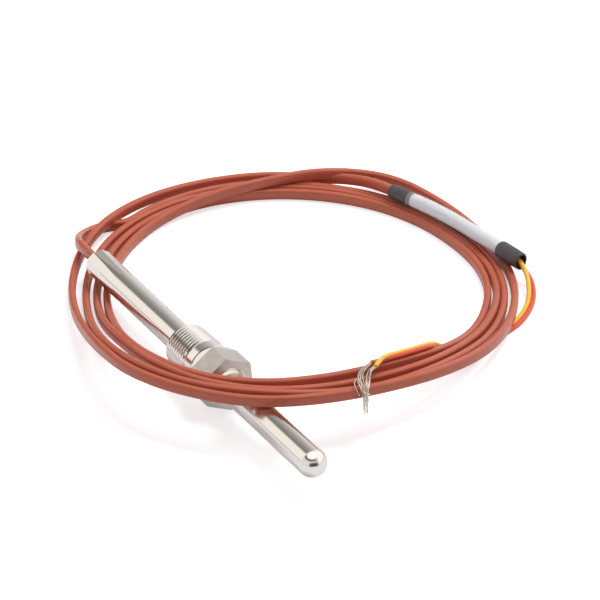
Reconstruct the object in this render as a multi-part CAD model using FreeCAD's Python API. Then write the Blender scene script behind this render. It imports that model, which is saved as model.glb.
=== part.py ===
"""A sheathed thermocouple with a brazed 1/8 NPT mounting bushing and a coiled duplex lead.

Millimetres. The probe lies along X with its tip at +X and its floor at z = 0.
Each piece is one closed solid, written to parts/NODE.step.
"""

import math
import os

import FreeCAD
import Part

os.makedirs("parts", exist_ok=True)

# ---------------------------------------------------------------- driving sizes

SHEATH_LENGTH = 98.4        # 3 7/8 in, lead end to tip
SHEATH_DIA = 6.35           # 1/4 in tube
SHEATH_WALL = 0.70
CRIMP_LENGTH = 13.0         # the pressed flats fade out over this length
CRIMP_DEPTH = 0.14          # how far each flat is pressed in at the lead end
CRIMP_FLATS = 10
CRIMP_TURN = 5.0            # first flat, in degrees from straight up

BUSHING_FROM_LEAD = 39.9    # lead end to the small end of the thread
THREAD_LENGTH = 8.6
THREAD_PITCH = 25.4 / 27.0  # 1/8-27 NPT
THREAD_SMALL_DIA = 9.99     # over the crests, at the small end
THREAD_DEPTH = 0.744 * THREAD_PITCH
TAPER = 1.0 / 16.0          # on the diameter
SHANK_DIA = 10.1
SHANK_LENGTH = 2.5
CONE_LENGTH = 2.5           # from the shank up to the hex corners
HEX_ACROSS_FLATS = 11.11    # 7/16 in
HEX_LENGTH = 5.9
HEX_TURN = 36.4             # one corner, in degrees from +Y towards +Z
HEX_CHAMFER = 0.35
BRAZE_FRONT = 0.75          # leg of the braze fillet on the hex face
BRAZE_REAR = 0.45

WIRE_DIA = 0.50             # each thermoelement
INSULATION_DIA = 1.06       # over the insulation of one wire
INSULATION_GAP = 0.04       # between the two insulated wires
JACKET_WALL = 0.12          # jacket of the duplex cable, over the two wires
BEAD_DIA = 1.80             # the welded junction
INSULATOR_COUNT = 4
INSULATOR_BORE = 0.70
INSULATOR_GAP = 0.15        # between two ceramic insulators, and around them
CAP_PLUG = 2.5              # how far the tip's plug reaches into the tube
FILL_LENGTH = 2.6
JACKET_INSIDE = 13.0        # jacket held inside the crimp
INSULATED_INSIDE = 19.0     # insulated wires reach this far in
CRIMP_BUSHING_LENGTH = 11.0

STRAND_DIA = 0.60           # bare end of each lead wire
CHANNEL_CLEARANCE = 0.05    # between the coil and the wires passing through it

SLEEVE_CLEARANCE = 0.03     # between the jacket and what is slipped over it
SLEEVE_CABLE_WALL = 0.20    # grey sleeve on the cable side of the label
LABEL_WALL = 0.20
COVER_WALL = 0.12
SLEEVE_WIRE_WALL = 0.25     # grey sleeve the wires leave

# ---------------------------------------------------------------- derived sizes

SHEATH_R = SHEATH_DIA / 2.0
BORE_R = SHEATH_R - SHEATH_WALL
LEAD_X = -SHEATH_LENGTH / 2.0
TIP_X = SHEATH_LENGTH / 2.0
DOME_X = TIP_X - SHEATH_R
THREAD_X = LEAD_X + BUSHING_FROM_LEAD
SHANK_X = THREAD_X + THREAD_LENGTH
CONE_X = SHANK_X + SHANK_LENGTH
HEX_X = CONE_X + CONE_LENGTH
HEX_END_X = HEX_X + HEX_LENGTH
HEX_R = HEX_ACROSS_FLATS / math.sqrt(3.0)
WIRE_Y = (INSULATION_DIA + INSULATION_GAP) / 2.0
WIRE_R = WIRE_DIA / 2.0
INSULATION_R = INSULATION_DIA / 2.0
JACKET_R = WIRE_Y + INSULATION_R + JACKET_WALL
JACKET_DIA = 2.0 * JACKET_R
JACKET_END_X = LEAD_X + JACKET_INSIDE
INSULATED_END_X = LEAD_X + INSULATED_INSIDE
FILL_END_X = DOME_X - CAP_PLUG
FILL_X = FILL_END_X - FILL_LENGTH
BEAD_X = FILL_END_X - BEAD_DIA / 2.0

# the lowest hex corner stands on the floor
corner_angles = [math.radians(HEX_TURN + 60.0 * k) for k in range(6)]
AXIS_Z = -min(HEX_R * math.sin(a) for a in corner_angles)

X_AXIS = FreeCAD.Vector(1, 0, 0)
Z_AXIS = FreeCAD.Vector(0, 0, 1)
ORIGIN = FreeCAD.Vector(0, 0, 0)

made = []


def write(node, shape):
    """Write one node, and keep its size for the list printed at the end."""
    solids = shape.Solids
    if len(solids) != 1:
        raise ValueError(node + " is not one solid: " + str(len(solids)))
    solid = solids[0]
    if not solid.isValid():
        raise ValueError(node + " is not valid")
    solid.exportStep("parts/" + node + ".step")
    made.append((node, solid.Volume))


def at(x, y=0.0, z=0.0):
    """A point given from the probe's axis."""
    return FreeCAD.Vector(x, y, AXIS_Z + z)


def rod(radius, x0, x1, y=0.0):
    return Part.makeCylinder(radius, x1 - x0, at(x0, y), X_AXIS)


def turned(profile):
    """Turn a closed outline of (x, radius) points about the probe's axis."""
    points = [at(x, 0.0, r) for x, r in profile]
    face = Part.Face(Part.makePolygon(points + [points[0]]))
    return face.revolve(at(0), X_AXIS, 360.0).Solids[0]


# ---------------------------------------------------------------- sheath and tip


def crimp_cutters():
    """Wedges whose inner faces are the pressed flats of the lead end."""
    slope = math.degrees(math.atan2(CRIMP_DEPTH, CRIMP_LENGTH))
    wedges = []
    for k in range(CRIMP_FLATS):
        slab = Part.makeBox(3 * CRIMP_LENGTH, 4 * SHEATH_R, SHEATH_R)
        slab.translate(FreeCAD.Vector(-2 * CRIMP_LENGTH, -2 * SHEATH_R, 0))
        slab.rotate(ORIGIN, FreeCAD.Vector(0, 1, 0), -slope)
        slab.translate(at(LEAD_X + CRIMP_LENGTH, 0.0, SHEATH_R))
        slab.rotate(at(0), X_AXIS, CRIMP_TURN + 360.0 / CRIMP_FLATS * k)
        wedges.append(slab)
    return wedges


tube_bore = turned([
    (LEAD_X - 1.0, 0.0),
    (LEAD_X - 1.0, BORE_R - CRIMP_DEPTH),
    (LEAD_X, BORE_R - CRIMP_DEPTH),
    (LEAD_X + CRIMP_LENGTH, BORE_R),
    (DOME_X + 1.0, BORE_R),
    (DOME_X + 1.0, 0.0),
])
sheath = rod(SHEATH_R, LEAD_X, DOME_X).cut(tube_bore)
for wedge in crimp_cutters():
    sheath = sheath.cut(wedge)
write("sheath_tube", sheath)

dome = Part.makeSphere(SHEATH_R, at(DOME_X))
keep_dome = rod(2 * SHEATH_R, DOME_X, TIP_X + 1.0)
plug = rod(BORE_R, FILL_END_X, DOME_X)
write("tip_cap", dome.common(keep_dome).fuse(plug))

# ---------------------------------------------------------------- wires inside

bead = Part.makeSphere(BEAD_DIA / 2.0, at(BEAD_X))
wires = {}
for name, side in (("positive", 1), ("negative", -1)):
    wires[name] = rod(WIRE_R, LEAD_X, BEAD_X, side * WIRE_Y)
    write(name + "_thermoelement", wires[name])
    cover = rod(INSULATION_R, LEAD_X, INSULATED_END_X, side * WIRE_Y)
    write(name + "_insulation_inner", cover.cut(wires[name]))
for wire in wires.values():
    bead = bead.cut(wire)
write("junction_bead", bead)


def around_wires(shape, radius):
    """Bore two holes for the wires."""
    for side in (1, -1):
        shape = shape.cut(rod(radius, LEAD_X - 1.0, TIP_X, side * WIRE_Y))
    return shape


write("cable_stub", around_wires(rod(JACKET_R, LEAD_X, JACKET_END_X), INSULATION_R))

bushing_end_x = LEAD_X + CRIMP_BUSHING_LENGTH
filler = rod(2 * SHEATH_R, LEAD_X + 0.8, bushing_end_x).common(tube_bore)
write("crimp_bushing", filler.cut(rod(JACKET_R, LEAD_X, JACKET_END_X)))

seal = rod(2 * SHEATH_R, bushing_end_x, INSULATED_END_X).common(tube_bore)
seal = seal.cut(rod(JACKET_R, LEAD_X, JACKET_END_X))
write("end_seal", around_wires(seal, INSULATION_R))

run = (FILL_X - INSULATED_END_X) / INSULATOR_COUNT
for k in range(INSULATOR_COUNT):
    x0 = INSULATED_END_X + k * run
    x1 = x0 + run - INSULATOR_GAP
    bar = rod(BORE_R - INSULATOR_GAP, x0, x1)
    write("ceramic_insulator_" + str(k + 1), around_wires(bar, INSULATOR_BORE / 2.0))

fill = rod(BORE_R, FILL_X, FILL_END_X).cut(bead)
for wire in wires.values():
    fill = fill.cut(wire)
write("tip_fill", fill)

# ---------------------------------------------------------------- bushing


def thread_groove():
    """The groove of the taper thread, built on +Z from the small end at z = 0."""
    half_taper = math.degrees(math.atan(TAPER / 2.0))
    root_r = THREAD_SMALL_DIA / 2.0 - THREAD_DEPTH
    lead_in = 1.5 * THREAD_PITCH
    start_r = root_r - lead_in * TAPER / 2.0
    path = Part.makeHelix(THREAD_PITCH, THREAD_LENGTH + lead_in, start_r, half_taper)
    over = 0.03 * THREAD_PITCH
    half_root = 0.0425 * THREAD_PITCH
    half_top = half_root + (THREAD_DEPTH + over) * math.tan(math.radians(30.0))
    outline = [
        FreeCAD.Vector(start_r, 0, -half_root),
        FreeCAD.Vector(start_r + THREAD_DEPTH + over, 0, -half_top),
        FreeCAD.Vector(start_r + THREAD_DEPTH + over, 0, half_top),
        FreeCAD.Vector(start_r, 0, half_root),
    ]
    profile = Part.makePolygon(outline + [outline[0]])
    groove = Part.Wire(path.Edges).makePipeShell([profile], True, True)
    groove.translate(FreeCAD.Vector(0, 0, -lead_in))
    return groove


small_r = THREAD_SMALL_DIA / 2.0
large_r = small_r + THREAD_LENGTH * TAPER / 2.0
blank = turned([
    (THREAD_X, SHEATH_R),
    (THREAD_X, small_r - THREAD_DEPTH),
    (THREAD_X + THREAD_DEPTH, small_r + THREAD_DEPTH * TAPER / 2.0),
    (SHANK_X, large_r),
    (SHANK_X, SHANK_DIA / 2.0),
    (CONE_X, SHANK_DIA / 2.0),
    (HEX_X, HEX_R),
    (HEX_END_X - HEX_CHAMFER / 2.0, HEX_R),
    (HEX_END_X, HEX_R - HEX_CHAMFER),
    (HEX_END_X, SHEATH_R),
])
corners = [at(CONE_X, HEX_R * math.cos(a), HEX_R * math.sin(a)) for a in corner_angles]
hex_bar = Part.Face(Part.makePolygon(corners + [corners[0]]))
hex_bar = hex_bar.extrude(X_AXIS * (HEX_END_X - CONE_X))
front_half = rod(3 * HEX_R, CONE_X, HEX_END_X + 1.0)
rear_half = rod(3 * HEX_R, THREAD_X - 1.0, CONE_X)
# the cones meet the flats in free-form edges, so that a flat can be extruded anywhere
hex_end = blank.common(front_half).toNurbs().common(hex_bar)
hex_end = hex_end.cut(rod(SHEATH_R, CONE_X - 1.0, HEX_END_X + 1.0))
groove = thread_groove()
groove.rotate(ORIGIN, FreeCAD.Vector(0, 1, 0), 90.0)
groove.translate(at(THREAD_X))
thread_end = blank.common(rear_half).cut(groove)
thread_end = max(thread_end.Solids, key=lambda s: s.Volume)
bushing = hex_end.fuse(thread_end).removeSplitter()
write("mounting_bushing", bushing)

write("braze_ring_front", turned([
    (HEX_END_X, SHEATH_R),
    (HEX_END_X, SHEATH_R + BRAZE_FRONT),
    (HEX_END_X + 0.25 * BRAZE_FRONT, SHEATH_R + 0.5 * BRAZE_FRONT),
    (HEX_END_X + BRAZE_FRONT, SHEATH_R),
]))
write("braze_ring_rear", turned([
    (THREAD_X, SHEATH_R),
    (THREAD_X, SHEATH_R + BRAZE_REAR),
    (THREAD_X - 0.3 * BRAZE_REAR, SHEATH_R + 0.4 * BRAZE_REAR),
    (THREAD_X - BRAZE_REAR, SHEATH_R),
]))

# ---------------------------------------------------------------- coil

COIL_CENTRE = (LEAD_X + 27.9, 32.6)
COIL_SIDE = math.radians(241.06)   # direction of the coil's 0 degree mark, from +X
STRAND_HALF = 0.90                 # half of one strand, across the coil
STRAND_TALL = 1.25                 # half of one strand, upwards

# degrees round the coil, innermost and outermost strand centres, strand height
COIL_STATIONS = [
    (0, 40.1, 47.6, 1.7),
    (20, 41.9, 49.8, 1.1),
    (40, 44.9, 53.0, 1.1),
    (60, 47.8, 56.0, 1.1),
    (80, 49.6, 57.4, 1.1),
    (100, 50.4, 57.0, 1.1),
    (120, 48.3, 58.0, 1.1),
    (140, 46.0, 54.0, 1.1),
    (160, 45.4, 50.8, 1.1),
    (180, 42.0, 47.8, 1.1),
    (200, 41.0, 46.2, 2.2),
    (220, 41.0, 48.2, 4.9),
    (240, 43.7, 51.3, 8.0),
    (260, 47.8, 56.0, 10.3),
    (280, 50.6, 59.0, 11.0),
    (300, 49.6, 58.0, 11.0),
    (320, 45.6, 51.7, 8.6),
    (340, 41.2, 47.3, 4.6),
]


def on_coil(degrees, radius, z):
    """A point on the coil, counted from its side nearest the lead end."""
    a = COIL_SIDE - math.radians(degrees)
    x = COIL_CENTRE[0] + radius * math.cos(a)
    y = COIL_CENTRE[1] + radius * math.sin(a)
    return FreeCAD.Vector(x, y, z)


def ring_edge(outer, upper):
    """One of the coil's four edges, a closed smooth curve."""
    points = []
    for degrees, inner_r, outer_r, middle in COIL_STATIONS:
        radius = outer_r + STRAND_HALF if outer else inner_r - STRAND_HALF
        height = middle + STRAND_TALL if upper else middle - STRAND_TALL
        points.append(on_coil(degrees, radius, height))
    curve = Part.BSplineCurve()
    curve.interpolate(Points=points, PeriodicFlag=True)
    return curve.toShape()


def ruled(a, b):
    return Part.makeRuledSurface(a, b)


inner_low = ring_edge(False, False)
inner_high = ring_edge(False, True)
outer_low = ring_edge(True, False)
outer_high = ring_edge(True, True)
walls = [
    ruled(inner_low, inner_high),
    ruled(inner_high, outer_high),
    ruled(outer_high, outer_low),
    ruled(outer_low, inner_low),
]
shell = Part.makeShell([f for w in walls for f in w.Faces])
shell.sewShape()
coil = Part.Solid(shell)
if coil.Volume < 0:
    coil.reverse()
below_floor = Part.makeBox(200, 200, 10, FreeCAD.Vector(-100, -100, -10))
coil = coil.cut(below_floor)

# ---------------------------------------------------------------- un-coiled cords


def cord_path(points, node, diameter):
    """Straight runs joined by tangent arcs, with the smallest bend radius printed."""
    p = [FreeCAD.Vector(*q) for q in points]
    edges = []
    last = p[0]
    tightest = None
    for k in range(1, len(p) - 1):
        before = (p[k] - p[k - 1]).Length
        after = (p[k + 1] - p[k]).Length
        back = (p[k - 1] - p[k]).normalize()
        ahead = (p[k + 1] - p[k]).normalize()
        half_turn = (math.pi - back.getAngle(ahead)) / 2.0
        setback = 0.45 * min(before, after)
        radius = setback / math.tan(half_turn)
        tightest = radius if tightest is None else min(radius, tightest)
        start = p[k] + back * setback
        end = p[k] + ahead * setback
        towards = (back + ahead).normalize()
        centre = p[k] + towards * (radius / math.cos(half_turn))
        middle = centre - towards * radius
        edges.append(Part.LineSegment(last, start).toShape())
        edges.append(Part.Arc(start, middle, end).toShape())
        last = end
    edges.append(Part.LineSegment(last, p[-1]).toShape())
    path = Part.Wire(edges)
    length = path.Length
    smallest = round(tightest, 2)
    print(node, "length", round(length, 1), "smallest radius", smallest,
          "=", round(tightest / diameter, 1), "diameters")
    return path


def tube(path, diameter):
    """A round bar swept along a path."""
    start = path.Edges[0].Vertexes[0].Point
    along = path.Edges[0].tangentAt(path.Edges[0].FirstParameter)
    ring = Part.Wire(Part.Circle(start, along, diameter / 2.0).toShape())
    swept = path.makePipeShell([ring], True, False)
    expected = path.Length * math.pi * diameter * diameter / 4.0
    if abs(swept.Volume / expected - 1.0) > 0.02:
        raise ValueError("swept volume is off: " + str(swept.Volume / expected))
    return swept


def from_lead(points):
    """Cord points are measured from the lead end of the sheath."""
    return [(LEAD_X + x, y, z) for x, y, z in points]


LEAD_ROUTE = from_lead([
    (0.0, 0.0, AXIS_Z),
    (-6.8, 0.0, AXIS_Z),
    (-12.6, 1.2, 5.0),
    (-17.6, 4.4, 3.1),
    (-21.0, 9.6, 1.8),
    (-22.3, 15.4, 1.3),
])
TAIL_ROUTE = from_lead([
    (-23.0, 57.6, 1.5),
    (-18.6, 63.6, 2.4),
    (-13.0, 68.6, 3.5),
    (-6.0, 72.2, 4.2),
    (2.1, 74.5, 4.4),
    (11.1, 77.4, 4.4),
    (20.1, 79.3, 4.4),
    (26.8, 80.1, 4.5),
    (32.8, 81.05, 4.5),
])
YELLOW_ROUTE = from_lead([
    (33.2, 81.2, 5.05),
    (39.0, 82.3, 4.95),
    (44.2, 81.7, 2.9),
    (50.0, 78.6, 0.75),
    (54.6, 74.0, 0.6),
    (58.0, 68.4, 0.8),
    (61.0, 60.9, 2.2),
    (64.0, 53.3, 4.9),
    (66.5, 46.3, 7.8),
    (68.9, 39.0, 10.0),
    (71.2, 32.2, 11.6),
    (74.0, 26.2, 13.1),
])
RED_ROUTE = from_lead([
    (33.2, 81.2, 3.85),
    (39.6, 82.4, 3.65),
    (44.3, 83.0, 1.4),
    (50.7, 79.6, 0.8),
    (55.6, 74.8, 0.6),
    (59.1, 69.0, 0.8),
    (62.2, 61.4, 2.2),
    (65.2, 53.7, 4.9),
    (67.7, 46.7, 7.8),
    (70.1, 39.4, 10.0),
    (72.4, 32.7, 11.6),
    (75.1, 26.7, 13.1),
])
YELLOW_STRAND_ROUTE = from_lead([
    (74.0, 26.2, 13.1),
    (75.86, 22.21, 14.1),
    (78.9, 19.6, 13.6),
    (81.9, 18.1, 12.0),
    (83.5, 17.5, 9.4),
])
RED_STRAND_ROUTE = from_lead([
    (75.1, 26.7, 13.1),
    (76.81, 22.9, 14.05),
    (79.35, 20.25, 13.6),
    (82.2, 18.75, 12.0),
    (83.75, 18.1, 9.4),
])

lead_path = cord_path(LEAD_ROUTE, "cable_lead", JACKET_DIA)
tail_path = cord_path(TAIL_ROUTE, "cable_tail", JACKET_DIA)
yellow_path = cord_path(YELLOW_ROUTE, "positive_wire", INSULATION_DIA)
red_path = cord_path(RED_ROUTE, "negative_wire", INSULATION_DIA)
yellow_strand_path = cord_path(YELLOW_STRAND_ROUTE, "positive_strands", STRAND_DIA)
red_strand_path = cord_path(RED_STRAND_ROUTE, "negative_strands", STRAND_DIA)

lead = tube(lead_path, JACKET_DIA)
tail = tube(tail_path, JACKET_DIA)
yellow = tube(yellow_path, INSULATION_DIA)
red = tube(red_path, INSULATION_DIA)

# the loose wires pass between the turns, so the coil has a channel for each
coil_whole = coil
for path in (yellow_path, red_path):
    coil = coil.cut(tube(path, INSULATION_DIA + 2 * CHANNEL_CLEARANCE))
coil = max(coil.Solids, key=lambda s: s.Volume)
write("cable_coil", coil)

lead = lead.cut(coil_whole)
tail = tail.cut(coil_whole)
lead = max(lead.Solids, key=lambda s: s.Volume)
tail = max(tail.Solids, key=lambda s: s.Volume)
write("cable_lead", lead)
write("cable_tail", tail)
write("positive_wire", yellow)
write("negative_wire", red)
write("positive_strands", tube(yellow_strand_path, STRAND_DIA))
write("negative_strands", tube(red_strand_path, STRAND_DIA))

# ---------------------------------------------------------------- sleeves and label


def slab_between(x0, x1):
    """Everything between two planes across the sleeves, which lie nearly along X."""
    box = Part.makeBox(x1 - x0, 40.0, 20.0, FreeCAD.Vector(x0, 60.0, 0.0))
    return box


SLEEVE_ROUTE = TAIL_ROUTE[:-1] + from_lead([(34.0, 81.24, 4.5), (41.0, 82.2, 4.35)])
sleeve_path = cord_path(SLEEVE_ROUTE, "sleeves", JACKET_DIA)


def sleeve(outer, inner, x0, x1):
    skin = tube(sleeve_path, outer).cut(tube(sleeve_path, inner))
    return skin.common(slab_between(x0, x1))


SLEEVE_X = [LEAD_X + x for x in (-2.4, 4.6, 33.0, 39.4)]
sleeve_bore = JACKET_DIA + 2 * SLEEVE_CLEARANCE
sleeve_dia = sleeve_bore + 2 * SLEEVE_CABLE_WALL
tag_dia = sleeve_bore + 2 * LABEL_WALL
cover_dia = tag_dia + 2 * COVER_WALL
mouth_dia = cover_dia + 2 * SLEEVE_WIRE_WALL
write("sleeve_cable_end", sleeve(sleeve_dia, sleeve_bore, SLEEVE_X[0], SLEEVE_X[1]))
write("label_sleeve", sleeve(tag_dia, sleeve_bore, SLEEVE_X[1], SLEEVE_X[2]))
write("clear_label_cover", sleeve(cover_dia, tag_dia, SLEEVE_X[1], SLEEVE_X[2]))
mouth = sleeve(mouth_dia, cover_dia, SLEEVE_X[2], SLEEVE_X[3])
write("sleeve_wire_end", mouth)

total = 0.0
for node, volume in made:
    total += volume
    print(node, round(volume, 2))
print(len(made), "nodes", round(total, 1), "mm3")
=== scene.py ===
# %% [markdown]
# A sheathed thermocouple: a bright steel probe with a pipe-thread bushing brazed on it,
# and a thin flat cable that lies coiled round it. The CAD model is loaded as a fixed frame
# in metres. Everything made here is placed in that same frame, so nothing has to be fitted.

# %% Load the frame
import math
import random

import bmesh
import bpy
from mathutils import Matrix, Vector


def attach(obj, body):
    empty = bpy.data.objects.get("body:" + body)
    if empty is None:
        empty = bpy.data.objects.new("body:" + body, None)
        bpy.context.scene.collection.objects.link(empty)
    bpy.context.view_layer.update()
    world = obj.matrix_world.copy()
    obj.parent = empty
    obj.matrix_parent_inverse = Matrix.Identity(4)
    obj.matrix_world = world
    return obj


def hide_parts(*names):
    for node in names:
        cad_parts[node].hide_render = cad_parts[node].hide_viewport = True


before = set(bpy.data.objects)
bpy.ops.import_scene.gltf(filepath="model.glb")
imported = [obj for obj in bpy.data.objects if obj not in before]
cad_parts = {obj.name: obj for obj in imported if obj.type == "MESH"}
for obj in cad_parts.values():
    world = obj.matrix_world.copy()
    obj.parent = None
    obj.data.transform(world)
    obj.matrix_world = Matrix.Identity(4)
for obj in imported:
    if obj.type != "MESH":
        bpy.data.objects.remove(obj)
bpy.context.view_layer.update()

MM = 0.001
print("CAD nodes:", len(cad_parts))

# %% [markdown]
# The camera stands 1.3 m away with a long lens, so the probe keeps nearly parallel edges. It
# is aimed by its own axes: the way it looks, and what is to its right.

# %% Camera
AIM = Vector((-23.7, 35.7, 0.0)) * MM
DISTANCE = 1.3
TURN = math.radians(61.06)
ELEVATION = math.radians(29.75)
SENSOR = 36.0
LENS = 360.1

to_right = Vector((math.cos(TURN), math.sin(TURN), 0.0))
away = Vector((-math.sin(TURN), math.cos(TURN), 0.0))
looking = away * math.cos(ELEVATION) - Vector((0, 0, 1)) * math.sin(ELEVATION)
camera_data = bpy.data.cameras.new("camera")
camera_data.sensor_width = SENSOR
camera_data.lens = LENS
camera_data.clip_start = 0.05
camera_data.clip_end = 20.0
camera = bpy.data.objects.new("camera", camera_data)
camera.location = AIM - looking * DISTANCE
camera.rotation_mode = "QUATERNION"
camera.rotation_quaternion = looking.to_track_quat("-Z", "Y")
bpy.context.scene.collection.objects.link(camera)
bpy.context.scene.camera = camera
print("camera at", tuple(round(c, 3) for c in camera.location))

# %% [markdown]
# The cable runs straight out of the crimp, bends down to the table, makes a little over four
# loose turns and ends in the tag. Each turn is laid by hand in real life, so no two have the
# same size. Here the coil is a list of stations: how far round, how far out and how high. A
# loop turns them into spline points, 15 degrees apart. A curve of order three runs a little
# inside its control points, so the points go a little further out than the stations.

# %% Stations of the coil
COIL_CENTRE = Vector((-21.3, 32.6, 0.0))
START_SIDE = math.radians(241.06)
STEP = 15
FURTHER_OUT = math.cos(math.radians(STEP / 2)) ** -0.75

# degrees counted on from the first turn, distance out in mm, height above the usual line
TURN_1 = [
    (52, 52.0, 0.0), (62, 53.0, 0.0), (75, 54.0, 0.0), (90, 52.9, 0.0),
    (105, 51.3, 0.0), (120, 50.0, 0.0), (135, 48.6, 0.0), (150, 47.6, 0.0),
    (165, 46.8, 0.0), (180, 45.6, 0.0), (195, 45.1, 0.0), (210, 45.3, 0.0),
    (225, 46.9, -0.4), (240, 49.9, -0.9), (255, 52.6, -1.2), (270, 55.2, 0.1),
    (285, 56.0, 0.2), (300, 55.0, 0.0), (315, 51.4, 0.0), (330, 47.6, 0.0),
    (345, 44.8, 0.0),
]
TURN_2 = [
    (360, 44.4, 0.0), (375, 46.1, 0.0), (390, 47.9, 0.0), (405, 50.2, 0.0),
    (420, 51.2, 0.0), (435, 51.8, 0.0), (450, 51.3, 0.0), (461, 50.4, 0.0),
    (476, 48.8, 0.0), (492, 46.6, 0.0), (510, 45.6, 0.0), (525, 45.2, 0.0),
    (540, 43.9, 0.8), (555, 43.3, 0.9), (570, 43.3, 0.5), (585, 44.6, -0.2),
    (600, 47.4, -0.6), (615, 49.9, -0.5), (630, 53.2, -0.6), (645, 54.2, -0.1),
    (660, 52.6, 0.0), (675, 47.6, 0.0), (690, 44.3, 0.0), (705, 42.1, 0.0),
]
TURN_3 = [
    (720, 42.3, 0.0), (735, 43.4, 0.0), (750, 45.4, 0.0), (765, 47.9, 0.0),
    (780, 49.2, 0.0), (795, 49.7, 0.0), (810, 49.2, 0.0), (825, 48.3, 0.0),
    (840, 46.9, 0.0), (855, 45.0, 0.0), (870, 43.9, 0.0), (885, 43.4, 0.0),
    (900, 41.9, 0.0), (915, 41.1, 0.0), (930, 41.3, 0.0), (945, 42.2, 0.0),
    (960, 44.4, 0.0), (975, 46.8, 0.0), (990, 50.4, 0.0), (1005, 52.4, 0.0),
    (1020, 50.8, 0.0), (1035, 47.2, 0.0), (1050, 42.8, 0.0), (1065, 40.1, 0.0),
]
TURN_4 = [
    (1080, 40.1, 0.0), (1095, 41.1, 0.0), (1110, 43.0, 0.0), (1125, 45.9, 0.0),
    (1137, 47.7, 0.6), (1150, 48.6, 1.8), (1165, 50.6, 2.5), (1178, 55.3, 2.5),
    (1190, 58.2, 1.6), (1200, 56.6, 0.4), (1217, 52.4, 0.0), (1232, 50.1, 0.0),
    (1250, 48.7, 0.0), (1263, 47.7, 0.6), (1276, 47.6, 1.2), (1292, 48.4, 0.9),
    (1306, 49.9, 0.3), (1320, 51.8, 0.0), (1332, 53.8, 0.0), (1345, 56.2, -0.2),
    (1358, 58.8, 0.0), (1372, 58.0, 0.0), (1385, 56.6, 0.0), (1397, 52.6, 0.0),
    (1413, 48.6, 0.0), (1427, 47.0, 0.0),
]
TURN_5 = [
    (1440, 47.6, 0.2), (1455, 49.1, 1.2), (1470, 51.2, 1.8), (1481, 53.1, 1.8),
    (1497, 55.6, 0.8), (1512, 57.3, 0.0), (1524, 57.4, 0.0),
]
stations = TURN_1 + TURN_2 + TURN_3 + TURN_4 + TURN_5
print("coil stations:", len(stations))


# %% [markdown]
# Between two stations the distance out has to change smoothly, or the cable gets a kink. A
# cubic that leaves each station with the slope of its two neighbours does that. The whole
# bundle also climbs over the probe on one side, so the usual line has one long low hump. It
# starts at FOOT, is flat on top from TOP_START to TOP_END, and is down again at FOOT_AGAIN,
# all in degrees. Between LIFT_START and LIFT_END it stands up to LIFT higher still.

# %% Spline points of the coil
OUT, HEIGHT = 1, 2
REST, CLIMB, LIFT = 1.26, 9.8, 1.1
FOOT, TOP_START, TOP_END, FOOT_AGAIN = 180, 279, 296, 370
LIFT_START, LIFT_END = 200, 270
NO_SPAN = 1e-6


def eased(value_at, degrees):
    """Smooth value between stations, by a cubic through the two nearest."""
    k = 1
    while k < len(stations) - 2 and stations[k + 1][0] < degrees:
        k += 1
    a, b, c, d = (stations[min(max(i, 0), len(stations) - 1)] for i in range(k - 1, k + 3))
    if degrees < b[0]:
        a, b, c, d = stations[0], stations[0], stations[1], stations[2]
    span = c[0] - b[0]
    t = (degrees - b[0]) / span
    slope_b = (c[value_at] - a[value_at]) / max(c[0] - a[0], NO_SPAN) * span
    slope_c = (d[value_at] - b[value_at]) / max(d[0] - b[0], NO_SPAN) * span
    return (
        (2 * t**3 - 3 * t**2 + 1) * b[value_at]
        + (t**3 - 2 * t**2 + t) * slope_b
        + (3 * t**2 - 2 * t**3) * c[value_at]
        + (t**3 - t**2) * slope_c
    )


def usual_height(degrees):
    """Height of a strand's middle in mm: on the table, and up over the probe near the front."""
    side = degrees % 360
    if FOOT < side < TOP_START:
        lift = 0.0
        if LIFT_START < side < LIFT_END:
            lift = LIFT * math.sin(math.pi * (side - LIFT_START) / (LIFT_END - LIFT_START)) ** 2
        return REST + lift + CLIMB * (
            1 - math.cos(math.pi * (side - FOOT) / (TOP_START - FOOT))) / 2
    if TOP_START <= side <= TOP_END:
        return REST + CLIMB
    if side > TOP_END or side < FOOT_AGAIN - 360:
        side = side if side > TOP_END else side + 360
        return REST + CLIMB * (
            1 + math.cos(math.pi * (side - TOP_END) / (FOOT_AGAIN - TOP_END))) / 2
    return REST


def coil_point(degrees, out, height):
    """A place beside the coil's centre, counted clockwise from where the first turn starts."""
    a = START_SIDE - math.radians(degrees)
    flat = COIL_CENTRE + Vector((math.cos(a), math.sin(a), 0.0)) * out
    return Vector((flat.x, flat.y, height))


coil_points = []
for degrees in range(stations[0][0], stations[-1][0] + 1, STEP):
    out = eased(OUT, degrees) * FURTHER_OUT
    coil_points.append(coil_point(degrees, out, usual_height(degrees) + eased(HEIGHT, degrees)))
print("coil points:", len(coil_points))

# %% [markdown]
# The stretches that are not coiled follow nearly the same points as in the CAD model. All
# points together are the control points of one NURBS curve. An order of three keeps it smooth
# and close to its points. The order and the end setting are given after the points, because a
# new spline with one point cannot take them.

# %% The cable's line
LEAD_ROUTE = [
    (-49.2, 0.0, 6.374), (-56.0, 0.0, 6.374), (-61.8, 1.2, 5.0), (-66.8, 4.4, 3.1),
    (-70.5, 9.2, 1.5), (-71.2, 13.2, 1.27), (-69.5, 17.6, 1.27),
]
TAIL_ROUTE = [
    (-68.0, 63.6, 1.5), (-62.2, 68.8, 2.9), (-55.2, 72.2, 4.1), (-47.1, 74.5, 4.4),
    (-38.1, 77.4, 4.4), (-29.1, 79.3, 4.4), (-22.4, 80.1, 4.5), (-16.4, 81.05, 4.5),
]


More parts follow.
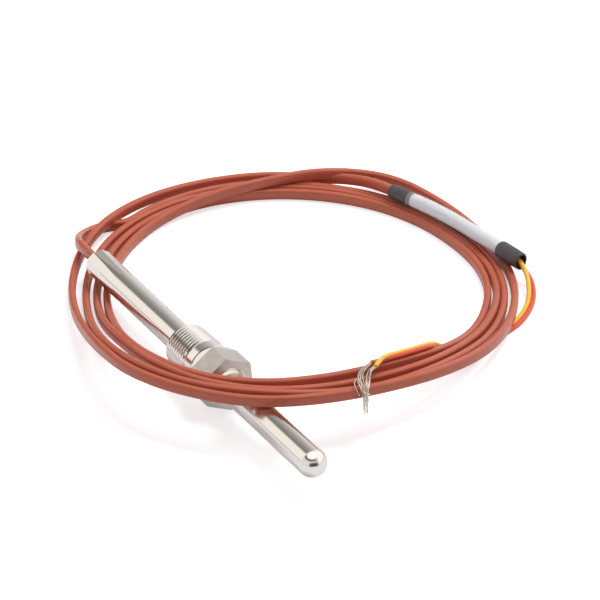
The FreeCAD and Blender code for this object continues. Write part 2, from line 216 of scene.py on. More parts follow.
def nurbs_line(name, points_mm):
    """A bare NURBS curve through space. It has no thickness yet."""
    curve = bpy.data.curves.new(name, "CURVE")
    curve.dimensions = "3D"
    spline = curve.splines.new("NURBS")
    spline.points.add(len(points_mm) - 1)
    for point, place in zip(spline.points, points_mm):
        point.co = (*(Vector(place) * MM), 1.0)
    spline.order_u = 3
    spline.use_endpoint_u = True
    spline.resolution_u = 10
    return curve


def line_points(curve):
    """The points that Blender puts along a curve with no bevel, in order."""
    holder = bpy.data.objects.new("line_reader", curve)
    bpy.context.scene.collection.objects.link(holder)
    graph = bpy.context.evaluated_depsgraph_get()
    mesh = bpy.data.meshes.new_from_object(holder.evaluated_get(graph))
    points = [v.co.copy() for v in mesh.vertices]
    bpy.data.objects.remove(holder)
    bpy.data.meshes.remove(mesh)
    return points


def length_of(points):
    """Length along a row of points."""
    return sum((b - a).length for a, b in zip(points, points[1:]))


cable_route = [Vector(p) for p in LEAD_ROUTE] + coil_points + [Vector(p) for p in TAIL_ROUTE]
cable_line = line_points(nurbs_line("cable_route", cable_route))
print("cable length mm:", round(length_of(cable_line) / MM, 1), "points", len(cable_line))


# %% [markdown]
# The duplex cable is flat: two insulated wires lie side by side in one jacket, which is
# extruded round them with flat sides and rounded edges. It stands on edge, because a flat
# cable bends easily only across its thin way. A small profile curve gives the section, and
# the Z-up twist setting keeps it standing while the line goes round.

# %% Sweep a section along a line
CABLE_THICK = 1.62 * MM
CABLE_WIDE = 2.42 * MM
CABLE_CORNER = 0.58 * MM
WELD = 0.002 * MM


def smooth_piece(name, bm):
    """Turn a bmesh into an object with smooth shading."""
    mesh = bpy.data.meshes.new(name)
    bm.to_mesh(mesh)
    bm.free()
    for face in mesh.polygons:
        face.use_smooth = True
    piece = bpy.data.objects.new(name, mesh)
    bpy.context.scene.collection.objects.link(piece)
    return piece


def rounded_profile(name, half_x, half_y, corner, per_corner=4):
    """A closed profile with rounded corners, for sweeping."""
    curve = bpy.data.curves.new(name, "CURVE")
    curve.dimensions = "2D"
    spline = curve.splines.new("POLY")
    places = []
    for k, (sx, sy) in enumerate(((1, 1), (-1, 1), (-1, -1), (1, -1))):
        for j in range(per_corner + 1):
            a = math.radians(90 * k + 90 * j / per_corner)
            x = sx * (half_x - corner) + corner * math.cos(a)
            y = sy * (half_y - corner) + corner * math.sin(a)
            places.append((x, y, 0.0, 1.0))
    spline.points.add(len(places) - 1)
    for point, place in zip(spline.points, places):
        point.co = place
    spline.use_cyclic_u = True
    holder = bpy.data.objects.new(name, curve)
    bpy.context.scene.collection.objects.link(holder)
    return holder


def smooth_poly(name, points):
    """A plain curve through points that already lie close together."""
    curve = bpy.data.curves.new(name, "CURVE")
    curve.dimensions = "3D"
    spline = curve.splines.new("POLY")
    spline.points.add(len(points) - 1)
    for point, place in zip(spline.points, points):
        point.co = (*place, 1.0)
    return curve


def swept(name, points, profile, twist="Z_UP"):
    """A closed tube of the profile along the points, as a mesh piece."""
    curve = smooth_poly(name + "_line", points)
    curve.twist_mode = twist
    curve.bevel_mode = "OBJECT"
    curve.bevel_object = profile
    curve.use_fill_caps = True
    holder = bpy.data.objects.new(name + "_line", curve)
    bpy.context.scene.collection.objects.link(holder)
    graph = bpy.context.evaluated_depsgraph_get()
    mesh = bpy.data.meshes.new_from_object(holder.evaluated_get(graph))
    bpy.data.objects.remove(holder)
    bm = bmesh.new()
    bm.from_mesh(mesh)
    bpy.data.meshes.remove(mesh)
    bmesh.ops.remove_doubles(bm, verts=bm.verts, dist=WELD)
    bmesh.ops.recalc_face_normals(bm, faces=bm.faces)
    return smooth_piece(name, bm)


cable_profile = rounded_profile("cable_profile", CABLE_THICK / 2, CABLE_WIDE / 2, CABLE_CORNER)
cable = swept("duplex_cable", cable_line, cable_profile)
print("cable triangles about", 2 * len(cable.data.polygons))
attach(cable, "root")
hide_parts("cable_lead", "cable_coil", "cable_tail")

# %% [markdown]
# Past the tag the two wires come out of the jacket, a yellow one and a red one. They fall to
# the table, slip under the bundle, climb its inner side and lie on top of it side by side.

# %% The two loose wires
WIRE_DIA = 1.06 * MM
YELLOW_ROUTE = [
    (-16, 81.2, 5.05), (-10.2, 82.3, 4.95), (-5, 81.9, 2.9), (1, 78.9, 0.75),
    (5.8, 74.2, 0.6), (9.4, 68.7, 0.55), (12.81, 57.44, 0.6), (14.19, 53.14, 1.4),
    (15.0, 49.8, 3.4), (16.2, 46.9, 6.0), (17.8, 44.4, 7.8), (18.91, 41.93, 8.55),
    (20.04, 39.19, 9.25), (21.03, 36.35, 9.9), (21.83, 33.4, 10.45),
    (22.9, 30.8, 11.3), (24.9, 28.1, 12.25), (27.12, 25.51, 12.2),
]
RED_ROUTE = [
    (-16, 81.2, 3.85), (-9.6, 82.4, 3.65), (-4.9, 83, 1.4), (1.5, 79.8, 0.8),
    (6.6, 75, 0.6), (10.3, 69.4, 0.55), (13.7, 58.09, 0.6), (15.14, 53.69, 1),
    (16.02, 50.05, 2.4), (16.9, 46.7, 4.9), (18.5, 44.5, 7.5), (19.93, 42.17, 8.65),
    (21.07, 39.36, 9.35), (22.08, 36.44, 9.98), (22.88, 33.42, 10.5),
    (23.5, 30.3, 10.95), (24.1, 27.9, 11.35), (24.81, 25.96, 11.9),
]
wire_profile = rounded_profile("wire_profile", WIRE_DIA / 2, WIRE_DIA / 2, WIRE_DIA / 2)
yellow_line = line_points(nurbs_line("yellow_route", YELLOW_ROUTE))
red_line = line_points(nurbs_line("red_route", RED_ROUTE))
yellow_wire = swept("yellow_wire", yellow_line, wire_profile)
red_wire = swept("red_wire", red_line, wire_profile)
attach(yellow_wire, "root")
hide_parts("positive_wire")
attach(red_wire, "root")
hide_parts("negative_wire")
print("wires mm:", round(length_of(yellow_line) / MM, 1), round(length_of(red_line) / MM, 1))

# %% [markdown]
# A sleeve is a short piece of shrink tubing. Its outline is drawn once as a closed loop of
# distance along and distance out, then spun round an axis. The straight tube is bent onto
# the cable's line afterwards: each corner keeps its place across the tube and takes its
# place along the line.

# %% Sleeves and label round the cable's end
SPIN_STEPS = 40
SPIN_WELD = 0.001 * MM
MOUTH_START, MOUTH_FADE = 2.5, 4.0
MOUTH_WAVE, MOUTH_NARROW, MOUTH_TALL = 0.05, 0.10, 0.06
SLEEVE_ROUTE = TAIL_ROUTE[2:-1] + [(-15.2, 81.24, 4.5), (-8.2, 82.2, 4.35)]
sleeve_line = line_points(nurbs_line("sleeve_route", SLEEVE_ROUTE))


def bend_onto(line, start_x):
    """A function that maps (along, across, up) to a place on the line past start_x."""
    first = next(k for k, p in enumerate(line) if p.x >= start_x)
    marks, run = [0.0], 0.0
    for a, b in zip(line[first:], line[first + 1:]):
        run += (b - a).length
        marks.append(run)

    def place(along, across, up):
        k = 0
        while k < len(marks) - 2 and marks[k + 1] < along:
            k += 1
        a, b = line[first + k], line[first + k + 1]
        ahead = (b - a).normalized()
        side = ahead.cross(Vector((0, 0, 1))).normalized()
        return a + ahead * (along - marks[k]) + side * across + side.cross(ahead) * up

    return place


def sleeve(name, start_x, outline_mm, squash=None):
    """Spin an outline round, then bend the tube onto the sleeve line."""
    bm = bmesh.new()
    ring = [bm.verts.new((x * MM, 0.0, r * MM)) for x, r in outline_mm]
    edges = [bm.edges.new((a, b)) for a, b in zip(ring, ring[1:] + ring[:1])]
    bmesh.ops.spin(bm, geom=ring + edges, cent=(0, 0, 0), axis=(1, 0, 0),
                   angle=math.tau, steps=SPIN_STEPS, use_merge=True)
    bmesh.ops.remove_doubles(bm, verts=bm.verts, dist=SPIN_WELD)
    bmesh.ops.recalc_face_normals(bm, faces=bm.faces)
    place = bend_onto(sleeve_line, start_x * MM)
    for v in bm.verts:
        across, up = v.co.y, v.co.z
        if squash:
            across, up = squash(v.co.x / MM, across, up)
        v.co = place(v.co.x, across, up)
    piece = smooth_piece(name, bm)
    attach(piece, "root")
    print(name, "faces", len(piece.data.polygons))
    return piece


def outline(places, wall):
    """A closed loop: out along the places, given as (along, radius), and back inside them."""
    return places + [(x, r - wall) for x, r in reversed(places)]


def lumpy(amount, pitch, seed):
    """A little unevenness round a tube that has shrunk onto two wires."""
    chance = random.Random(seed)
    turns = [chance.uniform(0, math.tau) for _ in range(3)]

    def shape(along, across, up):
        a = math.atan2(up, across)
        swell = 1 + amount * (
            math.sin(2 * a + turns[0] + along / pitch)
            + 0.6 * math.sin(3 * a + turns[1] - along / (0.7 * pitch))
        )
        return across * swell, up * swell

    return shape


def mouth(along, across, up):
    """The open end is pressed narrower from the sides and stands a little taller."""
    press = min(max((along - MOUTH_START) / MOUTH_FADE, 0.0), 1.0)
    a = math.atan2(up, across)
    wave = 1 + MOUTH_WAVE * press * math.sin(3 * a + 0.6)
    return across * wave * (1 - MOUTH_NARROW * press), up * wave * (1 + MOUTH_TALL * press)


def fine(places, per_mm=2.5):
    """More places between the given ones, so that the tube can bend."""
    out = []
    for (x0, r0), (x1, r1) in zip(places, places[1:]):
        n = max(1, int(abs(x1 - x0) * per_mm))
        out += [(x0 + (x1 - x0) * k / n, r0 + (r1 - r0) * k / n) for k in range(n)]
    return out + [places[-1]]


cable_sleeve = sleeve("shrink_sleeve_cable_side", -50.8, outline(fine([
    (0.0, 1.42), (0.12, 1.53), (0.5, 1.57), (3.0, 1.58), (5.8, 1.60), (6.4, 1.55)]), 0.20),
    lumpy(0.018, 1.6, 4))
label = sleeve("white_label_tube", -44.9, outline(fine([
    (0.0, 1.36), (0.2, 1.44), (1.2, 1.50), (14.0, 1.53), (28.6, 1.50), (29.6, 1.44)]), 0.16),
    lumpy(0.006, 4.0, 9))
cover = sleeve("clear_shrink_cover", -45.4, outline(fine([
    (0.0, 1.62), (0.25, 1.72), (1.5, 1.70), (14.5, 1.71), (30.0, 1.70), (31.0, 1.64)]), 0.10),
    lumpy(0.008, 3.0, 2))
wire_sleeve = sleeve("shrink_sleeve_wire_side", -15.9, outline(fine([
    (0.0, 1.78), (0.2, 1.92), (1.0, 1.96), (4.0, 1.97), (6.2, 1.93), (6.8, 1.90),
    (7.0, 1.80)]), 0.32), mouth)
for piece, node, slot in (
    (cable_sleeve, "sleeve_cable_end", "grey_sleeve"), (label, "label_sleeve", "label_cloth"),
    (cover, "clear_label_cover", "clear_cover"), (wire_sleeve, "sleeve_wire_end", "grey_sleeve"),
):
    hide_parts(node)

# %% [markdown]
# Each wire ends in fine bare strands. Every strand is a thin tube with its own line: the
# line of the bundle, plus a slow twist in radians and a spread in mm that is widest half way.
# A few strays are listed, as some always spring out of a stripped end.

# %% Bare strands
STRAND = 0.21
TWIST = (1.5, 4.0)
FAN = (0.05, 0.45)
AT_START, AT_TIP = 0.22, 0.18
FAN_SOONER = 1.15
YELLOW_STRAND_ROUTE = [
    (27.12, 25.51, 12.2), (28.16, 23.68, 12.6), (31.16, 21.4, 12.6), (33.29, 19.94, 11.9),
    (33.88, 19.41, 9.9), (33.69, 19.63, 6.6),
]
RED_STRAND_ROUTE = [
    (24.81, 25.96, 12), (26.42, 23.94, 12.6), (29.39, 20.68, 13), (31.02, 19.46, 12.6),
    (32.44, 19.33, 11.9), (33.31, 19.46, 10.7), (33.48, 19.57, 8.2), (33.46, 19.77, 5.4),
]
STRAND_R = STRAND / 2 * MM
strand_profile = rounded_profile("strand_profile", STRAND_R, STRAND_R, STRAND_R, per_corner=2)


def strand_bundle(name, route, count, seed, strays):
    """One mesh of many fine tubes that start together and fan out."""
    chance = random.Random(seed)
    line = line_points(nurbs_line(name + "_route", route))
    tubes = []
    for k in range(count):
        start = math.tau * k / count
        twist = chance.uniform(*TWIST)
        spread = chance.uniform(*FAN)
        stop = len(line) - chance.randrange(0, 5)
        points = []
        for j, p in enumerate(line[:stop]):
            t = j / (len(line) - 1)
            ahead = (line[min(j + 1, len(line) - 1)] - line[max(j - 1, 0)]).normalized()
            side = ahead.cross(Vector((0.3, 0.2, 1))).normalized()
            lift = side.cross(ahead)
            out = (AT_START + spread * math.sin(math.pi * min(t * FAN_SOONER, 1.0)) ** 2
                   + AT_TIP * t) * MM
            a = start + twist * t
            points.append(p + side * math.cos(a) * out + lift * math.sin(a) * out)
        tubes.append(points)
    for stray in strays:
        tubes.append(line_points(nurbs_line(name + "_stray", stray)))
    bm = bmesh.new()
    for points in tubes:
        tube = swept(name + "_part", points, strand_profile, twist="MINIMUM")
        bm.from_mesh(tube.data)
        part = tube.data
        bpy.data.objects.remove(tube)
        bpy.data.meshes.remove(part)
    piece = smooth_piece(name, bm)
    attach(piece, "root")
    print(name, "tubes", len(tubes), "faces", len(piece.data.polygons))
    return piece


STRAY_1 = [
    (29.5, 20.62, 13), (30.67, 19.1, 13), (31.24, 18.07, 12.6), (32.65, 17.87, 11.8),
    (33.3, 18.3, 10.4),
]
STRAY_2 = [
    (30.94, 19.59, 13), (31.94, 18.65, 12.8), (33.91, 18.61, 12), (34.13, 19.35, 11.2),
    (34.13, 20.45, 10.6),
]
STRAY_3 = [
    (31.96, 20.81, 12.6), (34, 20.01, 12.2), (34.42, 19.62, 10.6), (34.32, 19.97, 9),
]
yellow_strands = strand_bundle("bare_strands_yellow_wire", YELLOW_STRAND_ROUTE, 7, 3, [STRAY_3])
red_strands = strand_bundle("bare_strands_red_wire", RED_STRAND_ROUTE, 7, 8, [STRAY_1, STRAY_2])
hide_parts("positive_strands")
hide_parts("negative_strands")

# %% [markdown]
# A cord is more than its mesh: it leaves a piece at one place, has a length and a thickness,
# and is stiff or limp. Below, the length of each line and the first point of each wire are
# only worked out, and nothing keeps them. Nothing is hidden or cut short here, so the length
# is that of the line.

length_of(cable_line)
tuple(yellow_line[0])
length_of(yellow_line)
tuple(red_line[0])
length_of(red_line)


# %% [markdown]
# Colours are written as the hex values that a screen shows. Blender works with linear light,
# so one function converts them. A second function adds a shader node, sets its values and
# links its inputs. A third mixes two close colours by a soft noise, which most of the
# materials here begin with. A Mix node has sockets for every data type it can have, so those
# for colours and for numbers are picked by their place.

# %% Colour and node helpers
COLOUR_A, COLOUR_B, COLOUR_OUT = 6, 7, 2
NUMBER_A, NUMBER_B, NUMBER_OUT = 2, 3, 0


def linear(hex_colour):
    """An sRGB hex colour as linear red, green, blue and alpha."""
    values = []
    for k in (0, 2, 4):
        c = int(hex_colour[k:k + 2], 16) / 255
        values.append(c / 12.92 if c <= 0.04045 else ((c + 0.055) / 1.055) ** 2.4)
    return (*values, 1.0)


def add(material, kind, links=None, **settings):
    """Add one node. Settings are its own fields or inputs, and links join inputs to outputs."""
    node = material.node_tree.nodes.new(kind)
    for key, value in settings.items():
        if hasattr(node, key):
            setattr(node, key, value)
        else:
            node.inputs[key.replace("_", " ")].default_value = value
    for key, output in (links or {}).items():
        material.node_tree.links.new(output, node.inputs[key])
    return node


def new_material(name):
    """A material with an empty node tree and its output node."""
    material = bpy.data.materials.new(name)
    material.use_nodes = True
    material.node_tree.nodes.clear()
    return material, material.node_tree.nodes.new("ShaderNodeOutputMaterial")


def cloudy(material, place, size_mm, detail, base, shade):
    """A soft noise, and the colour that it mixes from base and shade."""
    cloud = add(material, "ShaderNodeTexNoise", {"Vector": place.outputs["Object"]},
                Scale=1 / (size_mm * MM), Detail=detail)
    tint = add(material, "ShaderNodeMix", {"Factor": cloud.outputs["Fac"]}, data_type="RGBA")
    tint.inputs[COLOUR_A].default_value = linear(base)
    tint.inputs[COLOUR_B].default_value = linear(shade)
    return cloud, tint.outputs[COLOUR_OUT]


def finish_with(material, output, shader):
    """Join the shader to the output and give the material back."""
    material.node_tree.links.new(shader.outputs[0], output.inputs["Surface"])
    return material


def paint(piece, material):
    """Give a piece this one material."""
    piece.data.materials.clear()
    piece.data.materials.append(material)


# %% [markdown]
# The cable and both wires have the same kind of plastic over them, so one function makes all
# three materials. Two close colours are mixed by a soft noise a few millimetres wide, and a
# much finer noise feeds a bump, which breaks up the shine a little.

# %% Jacket
def extruded_jacket(name, base, shade):
    """Extruded fluoropolymer over a wire: smooth and a little waxy."""
    material, output = new_material(name)
    place = add(material, "ShaderNodeTexCoord")
    colour = cloudy(material, place, 6, 3.0, base, shade)[1]
    grain = add(material, "ShaderNodeTexNoise", {"Vector": place.outputs["Object"]},
                Scale=1 / (0.25 * MM), Detail=2.0)
    bump = add(material, "ShaderNodeBump", {"Height": grain.outputs["Fac"]},
               Strength=0.06, Distance=0.05 * MM)
    shader = add(material, "ShaderNodeBsdfPrincipled",
                 {"Base Color": colour, "Normal": bump.outputs["Normal"]},
                 Roughness=0.26, IOR=1.45)
    return finish_with(material, output, shader)


brown_jacket = extruded_jacket("extruded_brown_fluoropolymer", "CB6B50", "B85A41")
yellow_jacket = extruded_jacket("extruded_yellow_fluoropolymer", "FFD656", "FAC648")
red_jacket = extruded_jacket("extruded_red_fluoropolymer", "F0694A", "E65A3C")
paint(cable, brown_jacket)
paint(yellow_wire, yellow_jacket)
paint(red_wire, red_jacket)
print("jackets:", brown_jacket.name, yellow_jacket.name, red_jacket.name)


# %% [markdown]
# Drawn tube has lines along its length and turned bar has lines round it. Both come from one
# noise whose coordinates are stretched: an axis with a small scale gets long marks. The same
# noise varies the roughness. The hex was heated by the braze, so past the thread the metal
# gets a cloudier and duller face.

# %% Steel
ALONG_TUBE = (0.02, 1.0, 1.0)
ROUND_BAR = (1.0, 0.03, 0.03)
NO_LINES = (1.0, 1.0, 1.0)
SMOOTHER, ROUGHER = 0.05, 0.07


def metal(name, base, lines_mm, roughness, stretch, depth):
    """Bright metal with fine lines: long along the axes where stretch is small."""
    material, output = new_material(name)
    place = add(material, "ShaderNodeTexCoord")
    run = add(material, "ShaderNodeMapping", {"Vector": place.outputs["Object"]})
    run.inputs["Scale"].default_value = stretch
    lines = add(material, "ShaderNodeTexNoise", {"Vector": run.outputs["Vector"]},
                Scale=1 / (lines_mm * MM), Detail=3.0)
    rough = add(material, "ShaderNodeMapRange", {"Value": lines.outputs["Fac"]})
    rough.inputs["To Min"].default_value = roughness - SMOOTHER
    rough.inputs["To Max"].default_value = roughness + ROUGHER
    bump = add(material, "ShaderNodeBump", {"Height": lines.outputs["Fac"]},
               Strength=depth, Distance=0.02 * MM)
    shader = add(material, "ShaderNodeBsdfPrincipled",
                 {"Roughness": rough.outputs["Result"], "Normal": bump.outputs["Normal"]},
                 Metallic=1.0)
    shader.inputs["Base Color"].default_value = linear(base)
    return finish_with(material, output, shader)


def mottle_past(material, start_mm, base, shade, roughness):
    """Past a place along the axis, give the metal a cloudier and duller face."""
    nodes = material.node_tree.nodes
    links = material.node_tree.links
    shader = next(n for n in nodes if n.type == "BSDF_PRINCIPLED")
    place = next(n for n in nodes if n.type == "TEX_COORD")
    split = add(material, "ShaderNodeSeparateXYZ", {"Vector": place.outputs["Object"]})
    past = add(material, "ShaderNodeMath", {0: split.outputs["X"]}, operation="GREATER_THAN")
    past.inputs[1].default_value = start_mm * MM
    mottled = cloudy(material, place, 1.4, 5.0, base, shade)[1]
    colour = add(material, "ShaderNodeMix", {"Factor": past.outputs[0]}, data_type="RGBA")
    colour.inputs[COLOUR_A].default_value = shader.inputs["Base Color"].default_value[:]
    links.new(mottled, colour.inputs[COLOUR_B])
    links.new(colour.outputs[COLOUR_OUT], shader.inputs["Base Color"])
    rough = add(material, "ShaderNodeMix", {"Factor": past.outputs[0]})
    links.new(shader.inputs["Roughness"].links[0].from_socket, rough.inputs[NUMBER_A])
    rough.inputs[NUMBER_B].default_value = roughness
    links.new(rough.outputs[NUMBER_OUT], shader.inputs["Roughness"])


tube_steel = metal("polished_drawn_stainless", "E4DFD9",
                   lines_mm=0.12, roughness=0.15, stretch=ALONG_TUBE, depth=0.05)
turned_steel = metal("turned_stainless", "E6E2DE",
                     lines_mm=0.10, roughness=0.17, stretch=ROUND_BAR, depth=0.06)
mottle_past(turned_steel, 4.2, "DAD4CC", "B9B2AC", roughness=0.34)
bronze_fillet = metal("brazed_fillet", "D8D0C4",
                      lines_mm=0.20, roughness=0.24, stretch=NO_LINES, depth=0.15)
for node in ("sheath_tube", "tip_cap"):
    paint(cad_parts[node], tube_steel)
paint(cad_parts["mounting_bushing"], turned_steel)
for node in ("braze_ring_front", "braze_ring_rear"):
    paint(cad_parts[node], bronze_fillet)
print("metals:", tube_steel.name, turned_steel.name, bronze_fillet.name)


# %% [markdown]
# The other materials are short recipes of the same kind. The pieces inside the tube cannot be
# seen, but they are real pieces and get real materials too: alumina, nickel alloy, silicone.

# %% Sleeves, label, strands and what is inside
def rubbery_sleeve(name, base, shade):
    """Shrunk polyolefin: dull, with a fine leathery grain."""
    material, output = new_material(name)
    place = add(material, "ShaderNodeTexCoord")
    cloud, colour = cloudy(material, place, 1.1, 4.0, base, shade)
    bump = add(material, "ShaderNodeBump", {"Height": cloud.outputs["Fac"]},
               Strength=0.5, Distance=0.12 * MM)
    shader = add(material, "ShaderNodeBsdfPrincipled",
                 {"Base Color": colour, "Normal": bump.outputs["Normal"]}, Roughness=0.52)
    return finish_with(material, output, shader)


def clear_film(name):
    """Thin clear shrink tube: mostly see-through, with a shine at grazing angles."""
    material, output = new_material(name)
    place = add(material, "ShaderNodeTexCoord")
    haze = add(material, "ShaderNodeTexNoise", {"Vector": place.outputs["Object"]},
               Scale=1 / (1.6 * MM), Detail=2.0)
    rough = add(material, "ShaderNodeMapRange", {"Value": haze.outputs["Fac"]})
    rough.inputs["To Min"].default_value = 0.12
    rough.inputs["To Max"].default_value = 0.28
    shader = add(material, "ShaderNodeBsdfPrincipled", {"Roughness": rough.outputs["Result"]},
                 IOR=1.45, Alpha=0.16)
    shader.inputs["Base Color"].default_value = linear("E6E6EA")
    return finish_with(material, output, shader)


def plain_body(name, base, shade, roughness, metallic=0.0, size_mm=0.8, detail=4.0):
    """A cloudy solid colour. The white film and the pieces inside the tube have no more."""
    material, output = new_material(name)
    place = add(material, "ShaderNodeTexCoord")
    colour = cloudy(material, place, size_mm, detail, base, shade)[1]
    shader = add(material, "ShaderNodeBsdfPrincipled", {"Base Color": colour},
                 Roughness=roughness, Metallic=metallic)
    return finish_with(material, output, shader)


grey_shrink = rubbery_sleeve("grey_shrink_polyolefin", "5A5555", "454143")
white_film = plain_body("white_label_film", "FBFBFC", "F4F4F6", 0.35, size_mm=2.5, detail=2.0)
film = clear_film("clear_shrink_film")
nickel = plain_body("bare_nickel_alloy_wire", "EDE6D8", "CFC6B6", 0.26, metallic=1.0)
ceramic = plain_body("fired_alumina", "EDE8DC", "DDD6C8", 0.75)
silicone = plain_body("black_silicone_rubber", "2A2A2B", "1E1E20", 0.6)
paint(cable_sleeve, grey_shrink)
paint(wire_sleeve, grey_shrink)
paint(label, white_film)
paint(cover, film)
paint(yellow_strands, nickel)
paint(red_strands, nickel)
inside = {
    "junction_bead": nickel, "positive_thermoelement": nickel,
    "negative_thermoelement": nickel, "tip_fill": ceramic, "end_seal": ceramic,
    "crimp_bushing": silicone, "cable_stub": brown_jacket,
    "positive_insulation_inner": yellow_jacket, "negative_insulation_inner": red_jacket,
}
inside.update({f"ceramic_insulator_{k}": ceramic for k in range(1, 5)})
for node, material in inside.items():
    paint(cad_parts[node], material)
print("materials:", len(bpy.data.materials))

# %% [markdown]
# The floor is white paper. Part of its white comes from its own glow, seen only by the
# camera and in reflections, so the shadows stay soft and pale and the paper puts no extra
# light on the object.

# %% Floor
FLOOR_HALF = 6.0
FLOOR_DROP = 0.02 * MM
FLOOR_GLOW = 0.62
GLOSSY_SHARE = 0.40

floor_bm = bmesh.new()
bmesh.ops.create_grid(floor_bm, x_segments=1, y_segments=1, size=FLOOR_HALF)
floor_mesh = bpy.data.meshes.new("floor")
floor_bm.to_mesh(floor_mesh)
floor_bm.free()
floor = bpy.data.objects.new("floor", floor_mesh)
floor.location.z = -FLOOR_DROP
bpy.context.scene.collection.objects.link(floor)


def seen_or_mirrored(material):
    """1 for rays from the camera and through glass, less in a mirror, 0 for the rest."""
    tree = material.node_tree
    ray = tree.nodes.new("ShaderNodeLightPath")
    total = ray.outputs["Is Camera Ray"]
    for name, share in (("Is Glossy Ray", GLOSSY_SHARE), ("Is Transmission Ray", 1.0)):
        part = tree.nodes.new("ShaderNodeMath")
        part.operation = "MULTIPLY"
        tree.links.new(ray.outputs[name], part.inputs[0])
        part.inputs[1].default_value = share
        step = tree.nodes.new("ShaderNodeMath")
        step.operation = "MAXIMUM"
        tree.links.new(total, step.inputs[0])
        tree.links.new(part.outputs[0], step.inputs[1])
        total = step.outputs[0]
    return total


floor_paper, output = new_material("white_paper")
diffuse = add(floor_paper, "ShaderNodeBsdfDiffuse")
diffuse.inputs["Color"].default_value = linear("E4E2E5")
dim = add(floor_paper, "ShaderNodeMath", operation="MULTIPLY")
floor_paper.node_tree.links.new(seen_or_mirrored(floor_paper), dim.inputs[0])
dim.inputs[1].default_value = FLOOR_GLOW
glow = add(floor_paper, "ShaderNodeEmission", {"Strength": dim.outputs[0]})
both = add(floor_paper, "ShaderNodeAddShader")
floor_paper.node_tree.links.new(diffuse.outputs[0], both.inputs[0])
floor_paper.node_tree.links.new(glow.outputs[0], both.inputs[1])
finish_with(floor_paper, output, both)
paint(floor, floor_paper)
print("floor painted with", floor_paper.name)

# %% [markdown]
# Metal shows the room, so the room is drawn in the world from the direction a ray takes. A
# wall is bright at the back and darker towards the front. Then patches are laid over it one
# after the other: each has a level and a mask, which is the product of soft steps along x, y
# and z. Only shiny reflections see this room. The camera sees plain white, and all other rays
# get one plain soft level, so the object is lit evenly.

# %% Room
WALL_FRONT, WALL_BACK = -0.2, 0.7
WALL = ((0.0, 0.24), (0.15, 0.27), (0.45, 0.42), (0.75, 0.66), (1.0, 0.90))
WARM = (1.0, 0.975, 0.955)
RISES, FALLS = (0.0, 1.0), (1.0, 0.0)
PATCHES = (
    # a long window, low at the front
    ((1.16, 1.12, 1.05), (("Z", 0.02, 0.07, RISES), ("Y", -0.30, -0.21, FALLS))),
    # everything towards the tip: one pale level
    ((0.92, 0.91, 0.90), (("X", -0.62, -0.52, RISES),)),
    # a bright ceiling for the dome
    ((1.4, 1.37, 1.33), (("X", -0.60, -0.50, RISES), ("Z", 0.82, 0.88, RISES))),
    # a bright wall high at the back
    ((1.30, 1.27, 1.24),
     (("X", -0.55, -0.45, RISES), ("Y", 0.35, 0.45, RISES), ("Z", 0.22, 0.30, RISES))),
    # a dark band below the ceiling, which draws a line round the dome
    ((0.13, 0.12, 0.12),
     (("X", -0.55, -0.45, RISES), ("Y", 0.1, 0.3, FALLS),
      ("Z", 0.60, 0.66, RISES), ("Z", 0.78, 0.84, FALLS))),
    # dark, low past the tip: one side of each thread shows it
    ((0.09, 0.08, 0.08),
     (("X", 0.55, 0.70, RISES), ("Y", 0.15, 0.30, FALLS), ("Z", 0.42, 0.52, FALLS))),
    # dark past the lead end
    ((0.10, 0.09, 0.09), (("X", -0.90, -0.84, FALLS),)),
)
PLAIN_LIGHT = (0.40, 0.40, 0.41, 1.0)
WHITE = (1.0, 1.0, 1.0, 1.0)

world = bpy.data.worlds.new("studio")
bpy.context.scene.world = world
world.use_nodes = True
join = world.node_tree.links.new
background = world.node_tree.nodes["Background"]
where = add(world, "ShaderNodeTexCoord")
split = add(world, "ShaderNodeSeparateXYZ", {"Vector": where.outputs["Generated"]})


def soft_step(value, low, high, levels):
    """The first level below low, the second above high, and a straight slope between."""
    step = add(world, "ShaderNodeMapRange", {"Value": value}, clamp=True)
    step.inputs["From Min"].default_value = low
    step.inputs["From Max"].default_value = high
    step.inputs["To Min"].default_value, step.inputs["To Max"].default_value = levels
    return step.outputs["Result"]


def mask_of(steps):
    """The product of all the soft steps of one patch."""
    masks = [soft_step(split.outputs[axis], low, high, way) for axis, low, high, way in steps]
    product = masks[0]
    for mask in masks[1:]:
        both = add(world, "ShaderNodeMath", {0: product, 1: mask}, operation="MULTIPLY")
        product = both.outputs[0]
    return product


def laid_over(under, mask, level):
    """One flat colour laid over the room where the mask is 1."""
    mix = add(world, "ShaderNodeMix", {"Factor": mask}, data_type="RGBA")
    join(under, mix.inputs[COLOUR_A])
    mix.inputs[COLOUR_B].default_value = level
    return mix.outputs[COLOUR_OUT]


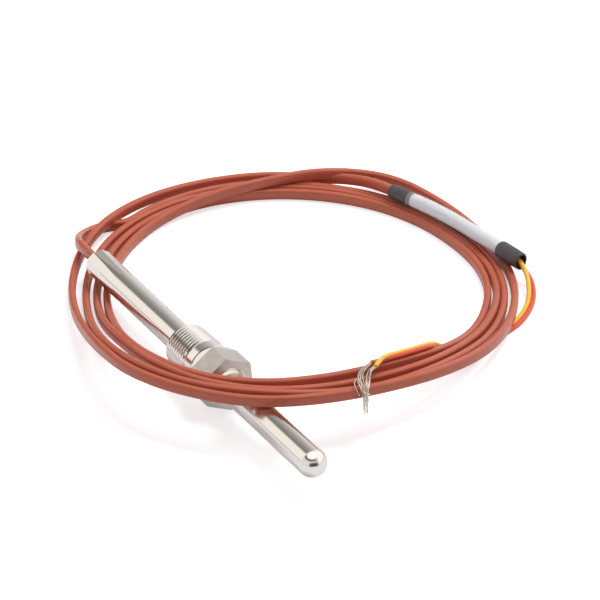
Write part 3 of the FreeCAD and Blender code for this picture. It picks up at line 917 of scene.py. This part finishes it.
wall = add(world, "ShaderNodeValToRGB",
           {"Fac": soft_step(split.outputs["Y"], WALL_FRONT, WALL_BACK, RISES)})
knots = wall.color_ramp.elements
for k, (stop, level) in enumerate(WALL):
    knot = knots[0] if k == 0 else knots.new(stop)
    knot.position = stop
    knot.color = (*(level * warmth for warmth in WARM), 1.0)
knots.remove(knots[-1])

room = wall.outputs["Color"]
for level, steps in PATCHES:
    room = laid_over(room, mask_of(steps), (*level, 1.0))
ray = add(world, "ShaderNodeLightPath")
soft = add(world, "ShaderNodeMix", {"Factor": ray.outputs["Is Glossy Ray"]}, data_type="RGBA")
soft.inputs[COLOUR_A].default_value = PLAIN_LIGHT
join(room, soft.inputs[COLOUR_B])
seen = laid_over(soft.outputs[COLOUR_OUT], ray.outputs["Is Camera Ray"], WHITE)
join(seen, background.inputs["Color"])
background.inputs["Strength"].default_value = 1.0
print("patches in the room:", len(PATCHES))

# %% [markdown]
# Two square lamps do the rest. The strong one stands behind and to the right, so shadows fall
# towards the lower left, and the weak one fills from the left. Reflections skip both lamps,
# because the room above already holds the windows that metal should show.

# %% Lamps
def softbox(name, place, size, power):
    """A square of light that points at the object. Metal shows the room in its place."""
    light = bpy.data.lights.new(name, "AREA")
    light.shape = "RECTANGLE"
    light.size = light.size_y = size
    light.energy = power
    lamp = bpy.data.objects.new(name, light)
    lamp.location = place
    lamp.rotation_mode = "QUATERNION"
    lamp.rotation_quaternion = (-Vector(place)).to_track_quat("-Z", "Y")
    lamp.visible_glossy = False
    bpy.context.scene.collection.objects.link(lamp)
    print(name, "gives", power, "W")


softbox("lamp_behind", (-0.3, 0.75, 1.25), size=0.7, power=15.0)
softbox("lamp_left", (-1.0, -0.9, 1.1), size=1.0, power=4.0)
bpy.context.scene.view_settings.view_transform = "Standard"

# %% [markdown]
# The small profile curves have done their work, so they are removed.

# %% Remove the profile curves
for helper in (cable_profile, wire_profile, strand_profile):
    bpy.data.objects.remove(helper)
